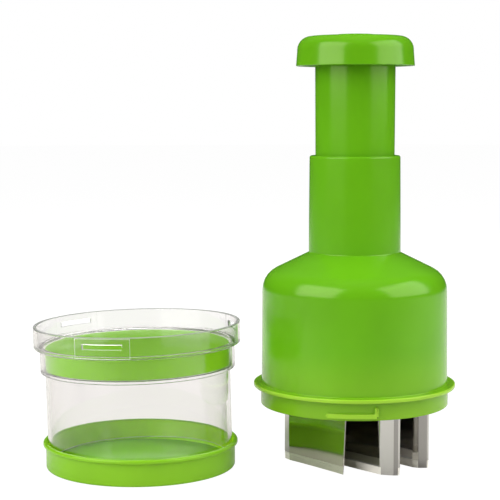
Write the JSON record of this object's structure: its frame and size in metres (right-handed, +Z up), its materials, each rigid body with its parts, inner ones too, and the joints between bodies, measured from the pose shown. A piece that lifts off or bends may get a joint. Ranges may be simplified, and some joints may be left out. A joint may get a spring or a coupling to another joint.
{
  "type": "vegetable dicer",
  "caption": "Hand-pressed vegetable dicer: a spring-loaded press unit with a folded zigzag blade, standing beside its clear cup with base dish and storage lid.",
  "frame": {"origin": "on the table, under the middle of the whole set's bounding box", "axes": "+Z up, along the press unit's axis; +X from the cup towards the press unit; +Y away from the viewer"},
  "size_m": [0.2074, 0.1138, 0.21],
  "materials": {
    "lime_plastic": "moulded, semi-gloss lime green",
    "clear_plastic": "clear moulded plastic",
    "blade_steel": "bright stainless strip with a ground edge",
    "plated_steel": "zinc plated",
    "nylon": "natural moulded nylon",
    "silicone": "soft translucent silicone"
  },
  "bodies": {
    "base": {"cup_base": "lime_plastic"},
    "cup": {"clear_cup": "clear_plastic"},
    "lid": {"storage_lid": "lime_plastic"},
    "plunger": {"knob_cap": "lime_plastic", "plunger_tube": "lime_plastic", "drive_stem": "nylon", "stem_screw": "plated_steel", "spring_seat": "plated_steel", "return_spring": "plated_steel", "stop_ring": "silicone", "carrier_washer": "plated_steel", "carrier_screw": "plated_steel"},
    "housing": {"housing": "lime_plastic", "neck_bush": "nylon", "guide_plate": "nylon", "index_cam": "nylon", "guide_screw_1": "plated_steel", "guide_screw_2": "plated_steel", "guide_screw_3": "plated_steel"},
    "blades": {"blade_carrier": "nylon", "blade_strip": "blade_steel", "index_rotor": "nylon"}
  },
  "joints": [
    {"name": "cup_lift", "type": "slide", "parent": "base", "child": "cup", "axis": [-0.0218, 0, 0.9998], "range_m": [0, 0.08]},
    {"name": "lid_lift", "type": "slide", "parent": "cup", "child": "lid", "axis": [-0.0218, 0, 0.9998], "range_m": [0, 0.04]},
    {"name": "press_lift", "type": "slide", "parent": "base", "child": "plunger", "axis": [0, 0, 1], "range_m": [0, 0.1]},
    {"name": "press_stroke", "type": "slide", "parent": "plunger", "child": "housing", "axis": [0, 0, 1], "range_m": [0, 0.034], "stiffness_N_per_m": 600, "springref_m": -0.02, "deforming": ["return_spring"]},
    {"name": "blade_turn", "type": "hinge", "parent": "plunger", "child": "blades", "pos_m": [0.05368, 0.00695, 0.038], "axis": [0, 0, 1], "range_deg": [0, 30]}
  ],
  "couplings": [
    {"joint": "blade_turn", "follows": "press_stroke", "rad_per_m": 15.3}
  ]
}
